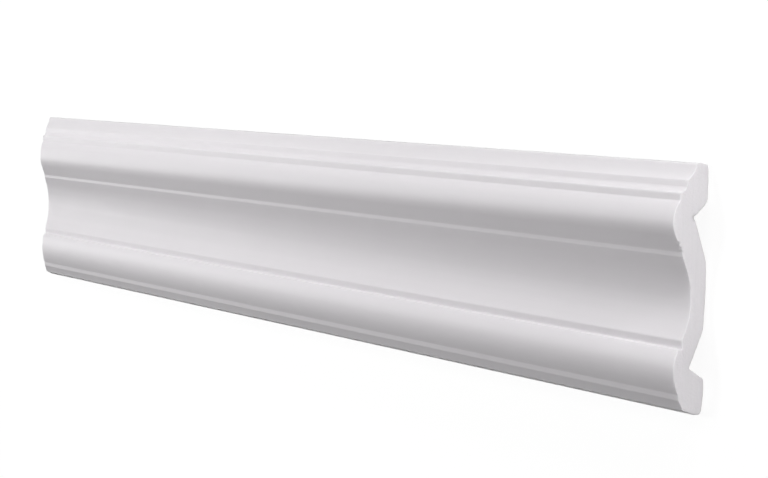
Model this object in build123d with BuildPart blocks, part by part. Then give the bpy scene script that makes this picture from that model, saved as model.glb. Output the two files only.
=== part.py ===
"""Decorative wall moulding: one length of extruded white foam.

Millimetres. The moulding lies on its back, face up: X runs along its length, +Y points to the edge
that is uppermost on the wall, and Z is the distance from the wall, which is the plane Z = 0.
The origin is at the middle of the back. The +X end is cut square, and the -X end is mitred for an
inside corner, so that the back is longer than the face there.
"""
import os
from math import cos, radians, sin

from build123d import *

# Overall
length = 600.0
height = 100.0
mitre_angle = 45.0

# Members of the face, from the top edge down to the cove: each one's height, and how far from
# the wall it ends
top_edge_depth = 6.4
bevel_height = 6.5
bevel_depth = 11.1
first_step_height = 2.6
first_step_depth = 11.6
cavetto_height = 2.3
cavetto_depth = 14.9
second_step_height = 3.0
upper_roll_height = 14.2
upper_roll_crown_drop = 8.5
upper_roll_crown_depth = 18.4
upper_roll_foot_depth = 16.7
splay_height = 6.7
splay_depth = 13.15
band_height = 1.9
band_depth = 13.15
cove_lip_height = 2.8
cove_lip_depth = 11.6

# Wide cove: it takes the height that the members above and below it leave
cove_depth = 8.3

# Members of the face, from the bottom edge up to the cove
sole_rise = 2.5
toe_height = 0.3
toe_depth = 11.6
scotia_height = 3.8
lip_depth = 13.7
lip_height = 2.4
lower_roll_foot_depth = 14.0
lower_roll_height = 17.8
lower_roll_crown_rise = 9.9
lower_roll_crown_depth = 16.6
lower_roll_top_depth = 14.1
lower_step_depth = 12.2
lower_step_height = 3.6
cove_foot_depth = 12.5

# Hollow of the small concave members: the bow of each arc from its chord
bevel_bow = 0.7
cavetto_bow = 0.6
scotia_bow = 0.1

# Back: two feet and a middle land touch the wall, and two channels lie between them
top_foot_height = 15.5
upper_channel_gap = 5.7
upper_channel_depth = 7.4
land_height = 8.1
land_rise = 11.7
tail_height = 19.0
tail_depth = 1.3
lower_channel_gap = 4.9
lower_channel_depth = 7.9
bottom_foot_height = 14.1
heel_width = 3.6
heel_lean = 1.0
heel_lean_height = 8.5

# Roundings
top_corner_radius = 3.0
top_foot_radius = 4.0
back_corner_radius = 2.0
land_radius = 20.0
tail_radius = 8.0
channel_radius = 0.6
arris_radius = 0.5
small_radius = 0.3
roll_foot_radius = 6.0
splay_foot_radius = 1.5
cove_lip_radius = 2.5

# Levels across the section, measured up from the middle of the height
top_edge = height / 2
bevel_foot_level = top_edge - bevel_height
first_step_level = bevel_foot_level - first_step_height
cavetto_level = first_step_level - cavetto_height
upper_roll_top_level = cavetto_level - second_step_height
upper_roll_foot_level = upper_roll_top_level - upper_roll_height
band_top_level = upper_roll_foot_level - splay_height
band_foot_level = band_top_level - band_height
cove_lip_level = band_foot_level - cove_lip_height

bottom_edge = -height / 2
toe_level = bottom_edge + sole_rise
scotia_level = toe_level + toe_height
lip_level = scotia_level + scotia_height
lower_roll_foot_level = lip_level + lip_height
lower_roll_top_level = lower_roll_foot_level + lower_roll_height
cove_foot_level = lower_roll_top_level + lower_step_height

cove_level = (cove_lip_level + cove_foot_level) / 2
top_foot_level = top_edge - top_foot_height
upper_channel_level = top_foot_level - upper_channel_gap
land_top_level = cove_level + land_rise + land_height / 2
land_foot_level = land_top_level - land_height
bottom_foot_level = bottom_edge + bottom_foot_height
lower_channel_level = bottom_foot_level + lower_channel_gap
tail_level = land_foot_level - tail_height

# Corners of the section: level, and distance from the wall
top_back = (top_edge, 0)
top_front = (top_edge, top_edge_depth)
bevel_foot = (bevel_foot_level, bevel_depth)
first_step_foot = (first_step_level, first_step_depth)
cavetto_foot = (cavetto_level, cavetto_depth)
upper_roll_top = (upper_roll_top_level, cavetto_depth)
upper_roll_crown = (upper_roll_top_level - upper_roll_crown_drop, upper_roll_crown_depth)
upper_roll_foot = (upper_roll_foot_level, upper_roll_foot_depth)
band_top = (band_top_level, splay_depth)
band_foot = (band_foot_level, band_depth)
cove_lip = (cove_lip_level, cove_lip_depth)
cove_bottom = (cove_level, cove_depth)
cove_foot = (cove_foot_level, cove_foot_depth)
lower_step_foot = (lower_roll_top_level, lower_step_depth)
lower_roll_top = (lower_roll_top_level, lower_roll_top_depth)
lower_roll_crown = (lower_roll_foot_level + lower_roll_crown_rise, lower_roll_crown_depth)
lower_roll_foot = (lower_roll_foot_level, lower_roll_foot_depth)
lip_foot = (lip_level, lip_depth)
scotia_foot = (scotia_level, toe_depth)
toe = (toe_level, toe_depth)
heel_front = (bottom_edge, heel_lean + heel_width)
heel_back = (bottom_edge, heel_lean)
heel_lean_top = (bottom_edge + heel_lean_height, 0)
bottom_foot_top = (bottom_foot_level, 0)
lower_channel = (lower_channel_level, lower_channel_depth)
tail = (tail_level, tail_depth)
land_foot = (land_foot_level, 0)
land_top = (land_top_level, 0)
upper_channel = (upper_channel_level, upper_channel_depth)
top_foot_foot = (top_foot_level, 0)


def hollow(start, end, bow):
    """A small hollow member: an arc that lies off its chord's middle, towards the wall, by the bow."""
    middle = (Vector(*start) + Vector(*end)) / 2
    across = (Vector(*end) - Vector(*start)).cross(Vector(0, 0, 1)).normalized()
    ThreePointArc(start, middle + across * (-bow if across.Y > 0 else bow), end)


def roll(top, crown, foot):
    """A roll: two arcs that meet at its crown, where they are level with the wall."""
    TangentArc(crown, top, tangent=(1, 0))
    TangentArc(crown, foot, tangent=(-1, 0))


# The mitre runs forward from the back's corner at the -X end
mitre_normal = (-cos(radians(mitre_angle)), 0, sin(radians(mitre_angle)))
mitre_plane = Plane(origin=(-length / 2, 0, 0), z_dir=mitre_normal)

with BuildPart() as wall_moulding:
    with BuildSketch(Plane.YZ.offset(-length / 2)) as section:
        with BuildLine() as outline:
            Line(top_back, top_front)
            hollow(top_front, bevel_foot, bevel_bow)
            Line(bevel_foot, first_step_foot)
            hollow(first_step_foot, cavetto_foot, cavetto_bow)
            Line(cavetto_foot, upper_roll_top)
            roll(upper_roll_top, upper_roll_crown, upper_roll_foot)
            Polyline(upper_roll_foot, band_top, band_foot, cove_lip)
            ThreePointArc(cove_lip, cove_bottom, cove_foot)
            Polyline(cove_foot, lower_step_foot, lower_roll_top)
            roll(lower_roll_top, lower_roll_crown, lower_roll_foot)
            Line(lower_roll_foot, lip_foot)
            hollow(lip_foot, scotia_foot, scotia_bow)
            Polyline(scotia_foot, toe, heel_front, heel_back, heel_lean_top, bottom_foot_top)
            Polyline(bottom_foot_top, lower_channel, tail, land_foot, land_top, upper_channel)
            Polyline(upper_channel, top_foot_foot, top_back)
        make_face()

        def corners(*points):
            """The section's corners that stand at these points."""
            return [section.vertices().sort_by_distance(point)[0] for point in points]

        fillet(corners(top_back), top_corner_radius)
        fillet(corners(top_foot_foot), top_foot_radius)
        fillet(corners(bottom_foot_top, heel_back), back_corner_radius)
        fillet(corners(land_top), land_radius)
        fillet(corners(tail), tail_radius)
        fillet(corners(upper_channel, lower_channel), channel_radius)
        fillet(corners(top_front, bevel_foot, cavetto_foot, band_foot, lip_foot), arris_radius)
        fillet(corners(upper_roll_top, lower_roll_foot, toe), small_radius)
        fillet(corners(upper_roll_foot), roll_foot_radius)
        fillet(corners(band_top), splay_foot_radius)
        fillet(corners(cove_lip), cove_lip_radius)
    extrude(amount=length)
    split(bisect_by=mitre_plane, keep=Keep.BOTTOM)

wall_moulding.part.label = "wall_moulding"

os.makedirs("parts", exist_ok=True)
export_step(wall_moulding.part, "parts/wall_moulding.step")
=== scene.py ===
"""Looks of the decorative wall moulding: one length of extruded white foam, lying on its back.

Metres, in the row frame: X along the length, +Y to the edge that is uppermost on the wall, Z away
from the wall. The +X end is cut square and the -X end is mitred, so the back is longer there.
"""

from math import atan2, cos, exp, hypot, pi, radians, sin, tan

import bmesh
import bpy
from mathutils import Matrix, Vector, noise
from mathutils.geometry import delaunay_2d_cdt


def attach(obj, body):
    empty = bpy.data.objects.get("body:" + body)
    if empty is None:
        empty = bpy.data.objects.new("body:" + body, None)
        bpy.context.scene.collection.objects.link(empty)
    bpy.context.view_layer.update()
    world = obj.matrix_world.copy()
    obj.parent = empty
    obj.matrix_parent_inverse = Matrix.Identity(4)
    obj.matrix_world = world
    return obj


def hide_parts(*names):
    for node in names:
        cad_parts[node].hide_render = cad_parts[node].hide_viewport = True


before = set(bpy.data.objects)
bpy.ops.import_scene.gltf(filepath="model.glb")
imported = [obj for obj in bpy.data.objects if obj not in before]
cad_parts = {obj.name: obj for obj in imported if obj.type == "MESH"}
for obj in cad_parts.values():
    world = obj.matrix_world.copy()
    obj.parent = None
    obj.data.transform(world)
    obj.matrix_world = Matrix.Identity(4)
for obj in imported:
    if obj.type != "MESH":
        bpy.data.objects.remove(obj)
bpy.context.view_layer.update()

MM = 0.001

# The moulding's own sizes
HALF_LENGTH = 300 * MM
MITRE = radians(45)

# Spacing of the points that a member is first drawn with, in millimetres
DRAWN_STEP = 0.05

# Finest and coarsest spacing of the points that are kept, and of sections along the length
FINE_STEP = 0.28 * MM
WIDE_STEP = 0.75 * MM
SECTION_STEP = 7.0 * MM

# How fast the spacing grows away from a member's end, and the least last gap as a share of it
STEP_GROWTH = 0.35
LAST_GAP_SHARE = 0.6

# Roundings under this radius, in millimetres, take fewer points than the others
SMALL_ROUNDING = 0.4
SMALL_ROUNDING_STEPS = 3
ROUNDING_STEPS = 5

# The way into the foam gets no longer at corners sharper than this cosine of half their turn
SHARPEST_CORNER = 0.5

# Sections stand closer together near each cut: their distances from it, in millimetres
END_SECTIONS = [0.0, 0.25, 0.5, 0.8, 1.2, 1.7, 2.4, 3.4, 4.8, 6.5]

# The cut edges are a little soft, as the wire or saw leaves foam, and softer along the back
FACE_EDGE_RADIUS = 0.12 * MM
BACK_EDGE_RADIUS = 0.60 * MM
CUT_EDGE_STEPS = 4

# Share of the back's softness where the skin faces straight up or down the wall
SIDE_SOFTNESS = 0.3

# Spacing of points on a cut face, of their rows, and from its rim, the last two as shares of the first
CUT_FACE_STEP = 0.95 * MM
CUT_FACE_ROW = 0.87
CUT_FACE_RIM = 0.55

# How a cut face is filled: points this near each other are one, and only the inside of the rim is kept
SAME_POINT = 1e-9
WITHIN_RIM = 1

# Unevenness of the extruded skin and of the cut faces, always into the foam
SKIN_WAVE_DEPTH = 0.07 * MM
CUT_WAVE_DEPTH = 0.16 * MM

# Waves in a metre: of the skin along the piece and round it, of a cut face up the wall and out from it
SKIN_WAVES_ALONG = 14
SKIN_WAVES_ROUND = 55
CUT_WAVES_UP = 70
CUT_WAVES_OUT = 160
CUT_WAVE_PLACE = 3.0

# The cut frays the skin's last millimetre
FRAY_DEPTH = 0.14 * MM
FRAY_REACH = 0.7 * MM
FRAY_WAVES_ALONG = 40
FRAY_WAVES_ROUND = 420

# The upper roll's foot and the band stand lower towards the mitred end, as the piece came off the die:
# by how much, the levels where it sets in and dies away, and the depth past which it is the face's alone
WANDER = 1.5 * MM
WANDER_SETS_IN = (4 * MM, 20 * MM)
WANDER_DIES_AWAY = (25 * MM, 34 * MM)
WANDER_SKIN = (8 * MM, 11 * MM)

# The cut faces take the second of the moulding's two materials
CUT_FOAM_SLOT = 1

# Small hurts in the near cut edge, in millimetres: level, distance from the wall, reach and depth
NICKS = [
    (18.9, 15.4, 0.50, 0.55),
    (16.9, 14.3, 0.45, 0.45),
    (15.6, 13.6, 0.40, 0.35),
    (28.6, 6.9, 0.90, 0.45),
]

# The outline's points stand closest within this distance of a hurt, in millimetres
NICK_NEAR = 1.5

# Painted shade in the hurts, darkest where a hurt is pressed in this far, over this gain
NICK_SHADE_FULL_DEPTH = 0.5 * MM
NICK_SHADE_GAIN = 2.2


def line(start, end):
    """Points of a straight member, from one corner to the next, in millimetres."""
    count = max(2, int(hypot(end[0] - start[0], end[1] - start[1]) / DRAWN_STEP))
    return [Vector(start).lerp(Vector(end), i / count) for i in range(count + 1)]


def arc(start, middle, end):
    """Points of a round or hollow member through three points, in millimetres."""
    (ax, ay), (bx, by), (cx, cy) = start, middle, end
    divisor = 2 * (ax * (by - cy) + bx * (cy - ay) + cx * (ay - by))
    a_square, b_square, c_square = ax * ax + ay * ay, bx * bx + by * by, cx * cx + cy * cy
    centre_x = (a_square * (by - cy) + b_square * (cy - ay) + c_square * (ay - by)) / divisor
    centre_y = (a_square * (cx - bx) + b_square * (ax - cx) + c_square * (bx - ax)) / divisor
    radius = hypot(ax - centre_x, ay - centre_y)
    first, via, last = (atan2(y - centre_y, x - centre_x) for x, y in (start, middle, end))
    sweep = (last - first) % (2 * pi)
    if (via - first) % (2 * pi) > sweep:
        sweep -= 2 * pi
    count = max(8, int(abs(sweep) * radius / DRAWN_STEP))
    turns = [first + sweep * i / count for i in range(count + 1)]
    return [Vector((centre_x + radius * cos(turn), centre_y + radius * sin(turn))) for turn in turns]


def shoulder(crown, end):
    """Points from a roll's crown to its end: an arc that starts level with the wall."""
    run, drop = end[0] - crown[0], crown[1] - end[1]
    radius = (run * run + drop * drop) / (2 * drop)
    turn = 0.5 * atan2(abs(run), radius - drop)
    middle = (crown[0] + radius * sin(turn) * (1 if run > 0 else -1), crown[1] - radius * (1 - cos(turn)))
    return arc(crown, middle, end)


def roll(start, crown, end):
    """A roll's two arcs, from its upper end over the crown to its lower end."""
    return shoulder(crown, start)[::-1] + shoulder(crown, end)[1:]


def hollow(start, end, bow):
    """A small hollow member: an arc that bows towards the wall by this much."""
    chord = Vector(end) - Vector(start)
    across = Vector((chord.y, -chord.x)).normalized()
    if across.y > 0:
        across = -across
    middle = (Vector(start) + Vector(end)) / 2 + across * bow
    return arc(start, middle, end)


# Corners of the section in millimetres: level from the middle of the height, distance from the wall
TOP_BACK = (50.0, 0.0)
TOP_FRONT = (50.0, 6.4)
BEVEL_FOOT = (43.5, 11.25)
FIRST_STEP = (40.9, 11.5)
CAVETTO_FOOT = (38.85, 14.9)
ROLL_TOP = (35.6, 14.9)
ROLL_CROWN = (27.1, 18.4)
ROLL_FOOT = (21.1, 16.65)
BAND_TOP = (15.3, 13.25)
BAND_FOOT = (13.4, 13.1)
COVE_LIP = (10.0, 11.6)
COVE_MIDDLE = (-4.8, 8.3)
COVE_FOOT = (-19.6, 12.6)
LOWER_STEP = (-23.1, 12.05)
LOWER_ROLL_TOP = (-23.1, 14.1)
LOWER_ROLL_CROWN = (-31.1, 16.6)
LOWER_ROLL_FOOT = (-41.0, 14.0)
LIP_FOOT = (-43.4, 13.6)
SCOTIA_FOOT = (-47.2, 11.4)
TOE = (-47.5, 11.4)
HEEL_FRONT = (-50.0, 4.6)
HEEL_BACK = (-50.0, 1.0)
HEEL_TOP = (-41.5, 0.0)
BOTTOM_FOOT = (-35.9, 0.0)
LOWER_CHANNEL = (-31.0, 7.9)
TAIL = (-16.15, 0.8)
LAND_FOOT = (0.5, 0.0)
LAND_TOP = (10.95, 0.0)
UPPER_CHANNEL = (28.8, 6.9)
TOP_FOOT = (34.5, 0.0)

# How far the hollow members bow in, in millimetres
BEVEL_BOW = 0.7
CAVETTO_BOW = 0.6
SCOTIA_BOW = 0.1

# Members round the section, each with the rounding of the corner that it starts from, in millimetres
MEMBERS = [
    (line(TOP_BACK, TOP_FRONT), 3.0),
    (hollow(TOP_FRONT, BEVEL_FOOT, BEVEL_BOW), 0.7),
    (line(BEVEL_FOOT, FIRST_STEP), 0.8),
    (hollow(FIRST_STEP, CAVETTO_FOOT, CAVETTO_BOW), 0.6),
    (line(CAVETTO_FOOT, ROLL_TOP), 0.7),
    (roll(ROLL_TOP, ROLL_CROWN, ROLL_FOOT), 0.7),
    (line(ROLL_FOOT, BAND_TOP), 6.0),
    (line(BAND_TOP, BAND_FOOT), 1.5),
    (line(BAND_FOOT, COVE_LIP), 0.8),
    (arc(COVE_LIP, COVE_MIDDLE, COVE_FOOT), 2.5),
    (line(COVE_FOOT, LOWER_STEP), 1.5),
    (line(LOWER_STEP, LOWER_ROLL_TOP), 0.5),
    (roll(LOWER_ROLL_TOP, LOWER_ROLL_CROWN, LOWER_ROLL_FOOT), 1.1),
    (line(LOWER_ROLL_FOOT, LIP_FOOT), 0.5),
    (hollow(LIP_FOOT, SCOTIA_FOOT, SCOTIA_BOW), 0.5),
    (line(SCOTIA_FOOT, TOE), 0.25),
    (line(TOE, HEEL_FRONT), 0.3),
    (line(HEEL_FRONT, HEEL_BACK), 0.4),
    (line(HEEL_BACK, HEEL_TOP), 2.0),
    (line(HEEL_TOP, BOTTOM_FOOT), 0.0),
    (line(BOTTOM_FOOT, LOWER_CHANNEL), 2.0),
    (line(LOWER_CHANNEL, TAIL), 0.6),
    (line(TAIL, LAND_FOOT), 8.0),
    (line(LAND_FOOT, LAND_TOP), 0.0),
    (line(LAND_TOP, UPPER_CHANNEL), 20.0),
    (line(UPPER_CHANNEL, TOP_FOOT), 0.6),
    (line(TOP_FOOT, TOP_BACK), 4.0),
]


def trimmed(points, from_start, from_end):
    """The dense run of points without its first and last stretch."""
    gone = 0.0
    first = 0
    while gone < from_start and first < len(points) - 2:
        gone += (points[first + 1] - points[first]).length
        first += 1
    gone = 0.0
    last = len(points) - 1
    while gone < from_end and last > first + 1:
        gone += (points[last] - points[last - 1]).length
        last -= 1
    return points[first:last + 1]


def graded(points):
    """The dense run thinned out: close together near its ends, wider in between."""
    reach = [0.0]
    for a, b in zip(points, points[1:]):
        reach.append(reach[-1] + (b - a).length)
    whole = reach[-1]
    kept = [points[0]]
    at = 0.0
    for point, here in zip(points[1:-1], reach[1:-1]):
        edge = min(here, whole - here)
        step = min(WIDE_STEP, FINE_STEP + STEP_GROWTH * edge * MM) / MM
        if any(hypot(point.x - level, point.y - depth) < NICK_NEAR for level, depth, _, _ in NICKS):
            step = FINE_STEP / MM
        if here - at >= step and whole - here > LAST_GAP_SHARE * step:
            kept.append(point)
            at = here
    kept.append(points[-1])
    return kept


def section_outline():
    """The closed outline of the section in metres, with its roundings."""
    count = len(MEMBERS)
    reach = []
    for i, (points, radius) in enumerate(MEMBERS):
        before = MEMBERS[i - 1][0]
        into = (before[-1] - before[-2]).normalized()
        out = (points[1] - points[0]).normalized()
        reach.append(radius * tan(into.angle(out) / 2) if radius else 0.0)
    outline = []
    for i, (points, radius) in enumerate(MEMBERS):
        run = trimmed(points, reach[i], reach[(i + 1) % count])
        if reach[i]:
            start = outline[-1] if outline else trimmed(MEMBERS[-1][0], 0, reach[0])[-1]
            steps = SMALL_ROUNDING_STEPS if radius < SMALL_ROUNDING else ROUNDING_STEPS
            for k in range(1, steps):
                t = k / steps
                outline.append(start.lerp(points[0], t).lerp(points[0].lerp(run[0], t), t))
            outline.extend(graded(run))
        else:
            outline.extend(graded(run)[1:])
    return [point * MM for point in outline]


def inward_normals(outline):
    """For each point of the outline, the way into the foam, longer at a sharp corner."""
    ways = []
    count = len(outline)
    for i, point in enumerate(outline):
        into = (point - outline[i - 1]).normalized()
        out = (outline[(i + 1) % count] - point).normalized()
        along = (into + out).normalized()
        stretch = 1 / max(SHARPEST_CORNER, along.dot(out))
        ways.append(Vector((along.y, -along.x)) * stretch)
    area = sum(a.x * b.y - b.x * a.y for a, b in zip(outline, outline[1:] + outline[:1]))
    return ways if area < 0 else [-way for way in ways]


def edge_radius(way):
    """How round the cut leaves the edge here, by how far the skin turns to the wall."""
    turned = min(1.0, max(0.0, SIDE_SOFTNESS + way.normalized().y))
    return FACE_EDGE_RADIUS + (BACK_EDGE_RADIUS - FACE_EDGE_RADIUS) * turned


OUTLINE = section_outline()
INWARD = inward_normals(OUTLINE)
EDGE_RADIUS = [edge_radius(way) for way in INWARD]


def end_x(side, depth):
    """Where the cut stands at this distance from the wall: square at +X, mitred at -X."""
    return HALF_LENGTH if side > 0 else -HALF_LENGTH + depth * tan(MITRE)


def skin_wave(x, point):
    """How far the extruded skin is sunk here: long shallow waves along the piece."""
    at = Vector((x * SKIN_WAVES_ALONG, point.x * SKIN_WAVES_ROUND, point.y * SKIN_WAVES_ROUND))
    return SKIN_WAVE_DEPTH * (0.5 + 0.5 * noise.noise(at))


def eased(value, low, high):
    """Goes smoothly from 0 at the low value to 1 at the high one."""
    share = min(1.0, max(0.0, (value - low) / (high - low)))
    return share * share * (3 - 2 * share)


def wander(x, point):
    """How far the members from the upper roll to the cove stand lower here: not at all at the square end."""
    member = eased(point.x, *WANDER_SETS_IN) * (1 - eased(point.x, *WANDER_DIES_AWAY))
    return WANDER * member * eased(point.y, *WANDER_SKIN) * (0.5 - 0.5 * x / HALF_LENGTH)


def hurt(point, from_near_cut):
    """How far the skin is pressed in here by the small hurts in the near cut edge."""
    depth_here = 0.0
    for level, depth, reach, deep in NICKS:
        across = hypot(point.x - level * MM, point.y - depth * MM)
        away = (across * across + from_near_cut * from_near_cut) / (reach * MM) ** 2
        depth_here += deep * MM * exp(-away)
    return depth_here


def painted_nick_shade_at(at):
    """How much shade is painted into the small hurts in the near cut edge here, from 0 to 1, by how deep
    they are pressed in.
    """
    return min(1.0, NICK_SHADE_GAIN * hurt(Vector((at.y, at.z)), HALF_LENGTH - at.x) / NICK_SHADE_FULL_DEPTH)


def fray(x, point, from_cut):
    """How far the skin's edge is rubbed away here, close to a cut."""
    at = Vector((x * FRAY_WAVES_ALONG, point.x * FRAY_WAVES_ROUND, point.y * FRAY_WAVES_ROUND))
    return FRAY_DEPTH * (0.5 + 0.5 * noise.noise(at)) * exp(-from_cut / FRAY_REACH)


def cut_wave(point, side):
    """How far a cut face is sunk here: the slow wander of the cut, another one at each end."""
    at = Vector((point.x * CUT_WAVES_UP, point.y * CUT_WAVES_OUT, CUT_WAVE_PLACE + side))
    return CUT_WAVE_DEPTH * (0.5 + 0.5 * noise.noise(at))


def build_moulding():
    """The whole moulding as one closed mesh: extruded skin, soft cut edges and cut faces."""
    mesh = bmesh.new()
    count = len(OUTLINE)
    spread = END_SECTIONS[-1] * MM
    spans = int(2 * (HALF_LENGTH - spread) / SECTION_STEP)
    # A section stands at a share of the length, and then this far along
    sections = [(0, away * MM) for away in END_SECTIONS]
    sections += [(k / spans, spread * (1 - 2 * k / spans)) for k in range(1, spans)]
    sections += [(1, -away * MM) for away in reversed(END_SECTIONS)]

    def ring(place):
        return [mesh.verts.new(place(i)) for i in range(count)]

    def skin_point(i, section):
        share, along = section
        point = OUTLINE[i]
        left = end_x(-1, point.y) + EDGE_RADIUS[i]
        right = end_x(1, point.y) - EDGE_RADIUS[i]
        x = left + (right - left) * share + along
        depth = skin_wave(x, point) + fray(x, point, min(x - left, right - x)) + hurt(point, right - x)
        sunk = point + INWARD[i] * depth
        return Vector((x, sunk.x - wander(x, point), sunk.y))

    def edge_point(i, side, turn):
        """A point of the soft cut edge, turn going from 0 at the skin to 1 at the cut face."""
        base = skin_point(i, sections[-1] if side > 0 else sections[0])
        inset = EDGE_RADIUS[i] * (1 - cos(turn * pi / 2))
        out = EDGE_RADIUS[i] * sin(turn * pi / 2)
        y = base.y + INWARD[i].x * inset
        z = base.z + INWARD[i].y * inset
        x = end_x(side, z) - side * (EDGE_RADIUS[i] - out)
        return Vector((x, y, z))

    rings = []
    for k in range(CUT_EDGE_STEPS, 0, -1):
        rings.append(ring(lambda i, k=k: edge_point(i, -1, k / CUT_EDGE_STEPS)))
    for section in sections:
        rings.append(ring(lambda i, section=section: skin_point(i, section)))
    for k in range(1, CUT_EDGE_STEPS + 1):
        rings.append(ring(lambda i, k=k: edge_point(i, 1, k / CUT_EDGE_STEPS)))
    for a, b in zip(rings, rings[1:]):
        for i in range(count):
            j = (i + 1) % count
            mesh.faces.new((a[i], a[j], b[j], b[i]))
    cut_face(mesh, rings[0], -1)
    cut_face(mesh, rings[-1], 1)
    bmesh.ops.recalc_face_normals(mesh, faces=mesh.faces)
    data = bpy.data.meshes.new("moulding")
    mesh.to_mesh(data)
    mesh.free()
    # Painted shade: the hurts in the near cut edge are darkened in colour by how deep they are pressed in
    painted_nick_shade = data.attributes.new("painted_nick_shade", "FLOAT", "POINT")
    for vertex, value in zip(data.vertices, painted_nick_shade.data):
        value.value = painted_nick_shade_at(vertex.co)
    return data


def cut_face(mesh, rim, side):
    """Closes one end with the face of the cut, in small triangles that wander in and out."""
    flat = [Vector((v.co.y, v.co.z)) for v in rim]
    low_y, high_y = min(p.x for p in flat), max(p.x for p in flat)
    high_z = max(p.y for p in flat)
    inner = []
    row = 0
    y = low_y + CUT_FACE_STEP / 2
    while y < high_y:
        z = CUT_FACE_STEP * (0.5 if row % 2 else 1.0)
        while z < high_z:
            inner.append(Vector((y, z)))
            z += CUT_FACE_STEP
        y += CUT_FACE_STEP * CUT_FACE_ROW
        row += 1
    near = CUT_FACE_STEP * CUT_FACE_RIM
    inner = [p for p in inner if inside(p, flat) and all((p - q).length > near for q in flat)]
    edges = [(i, (i + 1) % len(flat)) for i in range(len(flat))]
    points, _, faces, origins, _, _ = delaunay_2d_cdt(flat + inner, edges, [], WITHIN_RIM, SAME_POINT)
    verts = []
    for point, made_from in zip(points, origins):
        if made_from and made_from[0] < len(rim):
            verts.append(rim[made_from[0]])
            continue
        sunk = cut_wave(point, side)
        verts.append(mesh.verts.new((end_x(side, point.y) - side * sunk, point.x, point.y)))
    for corners in faces:
        face = mesh.faces.new([verts[i] for i in corners])
        face.material_index = CUT_FOAM_SLOT


def inside(point, outline):
    """True if the point lies within the closed outline."""
    found = False
    for a, b in zip(outline, outline[1:] + outline[:1]):
        if (a.y > point.y) != (b.y > point.y):
            if point.x < (b.x - a.x) * (point.y - a.y) / (b.y - a.y) + a.x:
                found = not found
    return found


# Looks of the foam: tones from dark to light, and texture runs and cells for each metre
SKIN_TONES = ((0.856, 0.832, 0.856), (0.884, 0.858, 0.884))
CUT_TONES = ((0.825, 0.802, 0.825), (0.890, 0.864, 0.890))
RUBBED_TONE = (0.862, 0.838, 0.862)
# Painted shade put into the hurts of the near cut edge
PAINTED_NICK_SHADE_TONE = (0.42, 0.41, 0.42)
SKIN_RUN = (2.2, 240, 240)
CUT_RUN = (90, 22, 620)
SKIN_CELLS = 1500.0
CUT_CELLS = 1100.0
PATCHES_PER_METRE = 45
PATCH_DETAIL = 4
LINE_DETAIL = 5
LINE_ROUGHNESS = 0.6
RUBS_PER_METRE = 160

# How deep light goes into the foam
LIGHT_REACH = 1.3 * MM

# Stretch of each texture that is spread over the whole of its mask
CELL_RANGE = (0.1, 0.8)
NOISE_RANGE = (0.3, 0.7)
RAISED_RANGE = (0.52, 0.62)
PATCHY_RANGE = (0.35, 0.65)
LEAST_RUBBED = 0.3

# Share of the cells beside the patches in the tone, of the rubbing, and the strength of the relief
CELL_SHARE = 0.4
RUBBED_SHARE = 0.6
RELIEF_STRENGTH = 0.5

# Places of a Mix node's sockets, several of which have the same name
MIX_SHARE = 0
MIX_FIRST_NUMBER = 2
MIX_SECOND_NUMBER = 3
MIX_FIRST_COLOUR = 6
MIX_SECOND_COLOUR = 7
MIXED_NUMBER = 0
MIXED_COLOUR = 2


def new_group(name, inputs, outputs):
    """An empty node group with these inputs and number outputs, and its two end nodes."""
    made = bpy.data.node_groups.new(name, "ShaderNodeTree")
    for label, kind, value in inputs:
        made.interface.new_socket(label, in_out="INPUT", socket_type=kind).default_value = value
    for label in outputs:
        made.interface.new_socket(label, in_out="OUTPUT", socket_type="NodeSocketFloat")
    return made, made.nodes.new("NodeGroupInput"), made.nodes.new("NodeGroupOutput")


def ranged(nodes, links, value, low, high, to_low=0.0, to_high=1.0):
    """The value's run from low to high, spread over another range."""
    made = nodes.new("ShaderNodeMapRange")
    for label, number in (("From Min", low), ("From Max", high), ("To Min", to_low), ("To Max", to_high)):
        made.inputs[label].default_value = number
    links.new(value, made.inputs["Value"])
    return made.outputs["Result"]


def between(nodes, links, first, second, share):
    """A value that lies this share of the way from the first to the second."""
    made = nodes.new("ShaderNodeMix")
    made.inputs[MIX_SHARE].default_value = share
    links.new(first, made.inputs[MIX_FIRST_NUMBER])
    links.new(second, made.inputs[MIX_SECOND_NUMBER])
    return made.outputs[MIXED_NUMBER]


def product(nodes, links, value, other):
    """Two values multiplied; the other may be a plain number."""
    made = nodes.new("ShaderNodeMath")
    made.operation = "MULTIPLY"
    links.new(value, made.inputs[0])
    if isinstance(other, float):
        made.inputs[1].default_value = other
    else:
        links.new(other, made.inputs[1])
    return made.outputs[0]


def toned(nodes, links, mask, dark, light):
    """A colour that goes with the mask to the light tone, from the dark tone or from another colour."""
    made = nodes.new("ShaderNodeMix")
    made.data_type = "RGBA"
    links.new(mask, made.inputs[MIX_SHARE])
    if isinstance(dark, tuple):
        made.inputs[MIX_FIRST_COLOUR].default_value = (*dark, 1)
    else:
        links.new(dark, made.inputs[MIX_FIRST_COLOUR])
    made.inputs[MIX_SECOND_COLOUR].default_value = (*light, 1)
    return made.outputs[MIXED_COLOUR]


def foam_cells_group():
    """Fine closed cells of the foam, and slow patches where they lie denser."""
    cells_in = [("Cells per metre", "NodeSocketFloat", SKIN_CELLS)]
    made, given, result = new_group("foam_cells", cells_in, ["Cell", "Patch"])
    nodes, links = made.nodes, made.links
    place = nodes.new("ShaderNodeTexCoord")
    cells = nodes.new("ShaderNodeTexVoronoi")
    links.new(place.outputs["Object"], cells.inputs["Vector"])
    links.new(given.outputs["Cells per metre"], cells.inputs["Scale"])
    links.new(ranged(nodes, links, cells.outputs["Distance"], *CELL_RANGE), result.inputs["Cell"])
    patches = nodes.new("ShaderNodeTexNoise")
    patches.inputs["Scale"].default_value = PATCHES_PER_METRE
    patches.inputs["Detail"].default_value = PATCH_DETAIL
    links.new(place.outputs["Object"], patches.inputs["Vector"])
    links.new(ranged(nodes, links, patches.outputs["Fac"], *NOISE_RANGE), result.inputs["Patch"])
    return made


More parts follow.
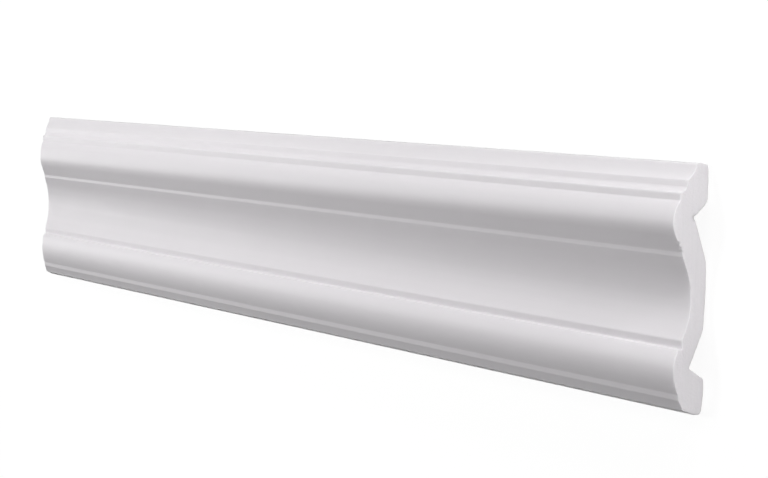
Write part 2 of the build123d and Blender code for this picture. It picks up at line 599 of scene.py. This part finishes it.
def drawn_lines_group():
    """Faint lines that a die or a hot wire draws, long one way and fine across it."""
    lines_in = [("Run", "NodeSocketVector", SKIN_RUN)]
    made, given, result = new_group("drawn_lines", lines_in, ["Line"])
    nodes, links = made.nodes, made.links
    place = nodes.new("ShaderNodeTexCoord")
    run = nodes.new("ShaderNodeVectorMath")
    run.operation = "MULTIPLY"
    links.new(place.outputs["Object"], run.inputs[0])
    links.new(given.outputs["Run"], run.inputs[1])
    lines = nodes.new("ShaderNodeTexNoise")
    lines.inputs["Scale"].default_value = 1
    lines.inputs["Detail"].default_value = LINE_DETAIL
    lines.inputs["Roughness"].default_value = LINE_ROUGHNESS
    links.new(run.outputs["Vector"], lines.inputs["Vector"])
    links.new(ranged(nodes, links, lines.outputs["Fac"], *NOISE_RANGE), result.inputs["Line"])
    return made


def rubbed_edges_group():
    """Raised edges, rubbed smooth and pale here and there."""
    made, _, result = new_group("rubbed_edges", [], ["Rubbed"])
    nodes, links = made.nodes, made.links
    shape = nodes.new("ShaderNodeNewGeometry")
    raised = ranged(nodes, links, shape.outputs["Pointiness"], *RAISED_RANGE)
    place = nodes.new("ShaderNodeTexCoord")
    here = nodes.new("ShaderNodeTexNoise")
    here.inputs["Scale"].default_value = RUBS_PER_METRE
    links.new(place.outputs["Object"], here.inputs["Vector"])
    patchy = ranged(nodes, links, here.outputs["Fac"], *PATCHY_RANGE, LEAST_RUBBED, 1.0)
    links.new(product(nodes, links, raised, patchy), result.inputs["Rubbed"])
    return made


FOAM_CELLS = foam_cells_group()
DRAWN_LINES = drawn_lines_group()
RUBBED_EDGES = rubbed_edges_group()


def foam_material(name, tones, cells_per_metre, run, line_share, rough, relief, specular):
    """White foam: tone, sheen and relief all follow its cells, its drawn lines and its rubbed edges; painted
    shade darkens the small hurts in the near cut edge.

    The two tones, and the two roughnesses, are those of the dark and of the light end of one mask.
    """
    made = bpy.data.materials.new(name)
    made.use_nodes = True
    nodes, links = made.node_tree.nodes, made.node_tree.links

    def use(group):
        node = nodes.new("ShaderNodeGroup")
        node.node_tree = group
        return node

    cells, lines, edges = use(FOAM_CELLS), use(DRAWN_LINES), use(RUBBED_EDGES)
    cells.inputs["Cells per metre"].default_value = cells_per_metre
    lines.inputs["Run"].default_value = run
    ground = between(nodes, links, cells.outputs["Patch"], cells.outputs["Cell"], CELL_SHARE)
    mask = between(nodes, links, ground, lines.outputs["Line"], line_share)
    rubbed = product(nodes, links, edges.outputs["Rubbed"], RUBBED_SHARE)
    height = between(nodes, links, cells.outputs["Cell"], lines.outputs["Line"], line_share)
    bump = nodes.new("ShaderNodeBump")
    bump.inputs["Strength"].default_value = RELIEF_STRENGTH
    bump.inputs["Distance"].default_value = relief
    links.new(height, bump.inputs["Height"])
    shader = nodes["Principled BSDF"]
    tone = toned(nodes, links, mask, *tones)
    tone = toned(nodes, links, rubbed, tone, RUBBED_TONE)
    # Painted shade: the colour goes dark in the hurts of the near cut edge
    painted_nick_shade = nodes.new("ShaderNodeAttribute")
    painted_nick_shade.attribute_name = "painted_nick_shade"
    links.new(toned(nodes, links, painted_nick_shade.outputs["Fac"], tone, PAINTED_NICK_SHADE_TONE), shader.inputs["Base Color"])
    links.new(ranged(nodes, links, mask, 0.0, 1.0, *rough), shader.inputs["Roughness"])
    links.new(bump.outputs["Normal"], shader.inputs["Normal"])
    shader.inputs["Specular IOR Level"].default_value = specular
    shader.inputs["Subsurface Weight"].default_value = 1
    shader.inputs["Subsurface Radius"].default_value = (1, 1, 1)
    shader.inputs["Subsurface Scale"].default_value = LIGHT_REACH
    return made


MOULDED_SKIN = foam_material(
    "moulded_skin",
    tones=SKIN_TONES,
    cells_per_metre=SKIN_CELLS,
    run=SKIN_RUN,
    line_share=0.6,
    rough=(0.56, 0.44),
    relief=0.035 * MM,
    specular=0.5,
)
CUT_FOAM = foam_material(
    "cut_foam",
    tones=CUT_TONES,
    cells_per_metre=CUT_CELLS,
    run=CUT_RUN,
    line_share=0.4,
    rough=(0.80, 0.65),
    relief=0.12 * MM,
    specular=0.35,
)

moulding = bpy.data.objects.new("moulding", build_moulding())
bpy.context.scene.collection.objects.link(moulding)
moulding.data.materials.append(MOULDED_SKIN)
moulding.data.materials.append(CUT_FOAM)
moulding.data.shade_smooth()
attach(moulding, "root")
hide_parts("wall_moulding")

# Floor: half its width, its level just under the moulding, its own tone and the white that is seen
FLOOR_HALF = 8.0
FLOOR_LEVEL = -0.05 * MM
FLOOR_TONE = 0.12
FLOOR_GLOW = 0.93

floor_mesh = bpy.data.meshes.new("floor")
floor_mesh.from_pydata(
    [(x * FLOOR_HALF, y * FLOOR_HALF, FLOOR_LEVEL) for x, y in ((-1, -1), (1, -1), (1, 1), (-1, 1))],
    [],
    [(0, 1, 2, 3)],
)
floor = bpy.data.objects.new("floor", floor_mesh)
bpy.context.scene.collection.objects.link(floor)


def seen_directly(nodes, links, kinds):
    """A mask that is 1 for what the camera sees by these kinds of ray."""
    path = nodes.new("ShaderNodeLightPath")
    found = path.outputs[kinds[0]]
    for kind in kinds[1:]:
        either = nodes.new("ShaderNodeMath")
        either.operation = "MAXIMUM"
        links.new(found, either.inputs[0])
        links.new(path.outputs[kind], either.inputs[1])
        found = either.outputs[0]
    return found


def floor_material():
    """Floor that the camera sees as white, with the moulding's shadow kept on it."""
    made = bpy.data.materials.new("pale_floor")
    made.use_nodes = True
    nodes, links = made.node_tree.nodes, made.node_tree.links
    shader = nodes["Principled BSDF"]
    shader.inputs["Base Color"].default_value = (FLOOR_TONE, FLOOR_TONE, FLOOR_TONE, 1)
    shader.inputs["Roughness"].default_value = 1
    shader.inputs["Specular IOR Level"].default_value = 0
    shader.inputs["Emission Color"].default_value = (FLOOR_GLOW, FLOOR_GLOW, FLOOR_GLOW, 1)
    seen = seen_directly(nodes, links, ("Is Camera Ray", "Is Glossy Ray", "Is Transmission Ray"))
    links.new(seen, shader.inputs["Emission Strength"])
    return made


floor_mesh.materials.append(floor_material())

world = bpy.data.worlds.new("white_surround")
bpy.context.scene.world = world
world.use_nodes = True
world_nodes, world_links = world.node_tree.nodes, world.node_tree.links
world_nodes["Background"].inputs["Color"].default_value = (1, 1, 1, 1)
world_links.new(
    seen_directly(world_nodes, world_links, ("Is Camera Ray",)),
    world_nodes["Background"].inputs["Strength"],
)

# Round soft lamps, all turned to the moulding's middle: name, place, diameter and power in watts
LAMPS = [
    ("overhead", (-0.30, 0.19, 1.08), 0.30, 5.05),
    ("high_behind", (-0.30, 0.63, 0.90), 0.30, 2.4),
    ("high_front", (0.50, -0.84, 0.71), 0.30, 0.9),
    ("behind_near", (0.50, 1.04, 0.36), 0.10, 2.1),
    ("behind_far", (-0.30, 1.07, 0.27), 0.10, 1.55),
    ("low_behind", (-0.30, 1.10, 0.08), 0.10, 1.6),
    ("cut_end_fill", (1.24, 0.00, 0.13), 0.40, 4.8),
    ("cut_end_top", (0.62, 0.30, 0.06), 0.20, 0.9),
    ("far_end_fill", (-1.17, 0.00, 0.43), 0.40, 1.7),
]


def lamp(name, place, size, power):
    """A round soft lamp, turned to the moulding's middle."""
    data = bpy.data.lights.new(name, "AREA")
    data.shape = "DISK"
    data.size = size
    data.energy = power
    made = bpy.data.objects.new(name, data)
    made.location = place
    made.rotation_mode = "QUATERNION"
    made.rotation_quaternion = Vector(place).to_track_quat("Z", "Y")
    bpy.context.scene.collection.objects.link(made)


for settings in LAMPS:
    lamp(*settings)

# Camera: its place, its turns in radians, and its lens and sensor in millimetres
CAMERA_PLACE = Vector((0.87676, 0.08988, 0.54951))
CAMERA_DOWN = 0.60036
CAMERA_ASIDE = 0.09033
CAMERA_ROLL = 0.01024
CAMERA_LENS = 93.866
SENSOR_WIDTH = 36.0
CLIP_START = 0.05
CLIP_END = 60


def photo_camera():
    """The camera at the photograph's viewing angle."""
    ahead = Vector((
        -cos(CAMERA_DOWN) * cos(CAMERA_ASIDE),
        -sin(CAMERA_ASIDE),
        -sin(CAMERA_DOWN) * cos(CAMERA_ASIDE),
    ))
    level_right = ahead.cross(Vector((0, 1, 0))).normalized()
    level_up = level_right.cross(ahead)
    right = level_right * cos(CAMERA_ROLL) + level_up * sin(CAMERA_ROLL)
    up = level_up * cos(CAMERA_ROLL) - level_right * sin(CAMERA_ROLL)
    turned = Matrix((right, up, -ahead)).transposed()
    data = bpy.data.cameras.new("photo_camera")
    data.lens = CAMERA_LENS
    data.sensor_width = SENSOR_WIDTH
    data.sensor_fit = "HORIZONTAL"
    data.clip_start = CLIP_START
    data.clip_end = CLIP_END
    made = bpy.data.objects.new("photo_camera", data)
    made.matrix_world = Matrix.Translation(CAMERA_PLACE) @ turned.to_4x4()
    bpy.context.scene.collection.objects.link(made)
    bpy.context.scene.camera = made


photo_camera()
bpy.context.scene.view_settings.view_transform = "Standard"
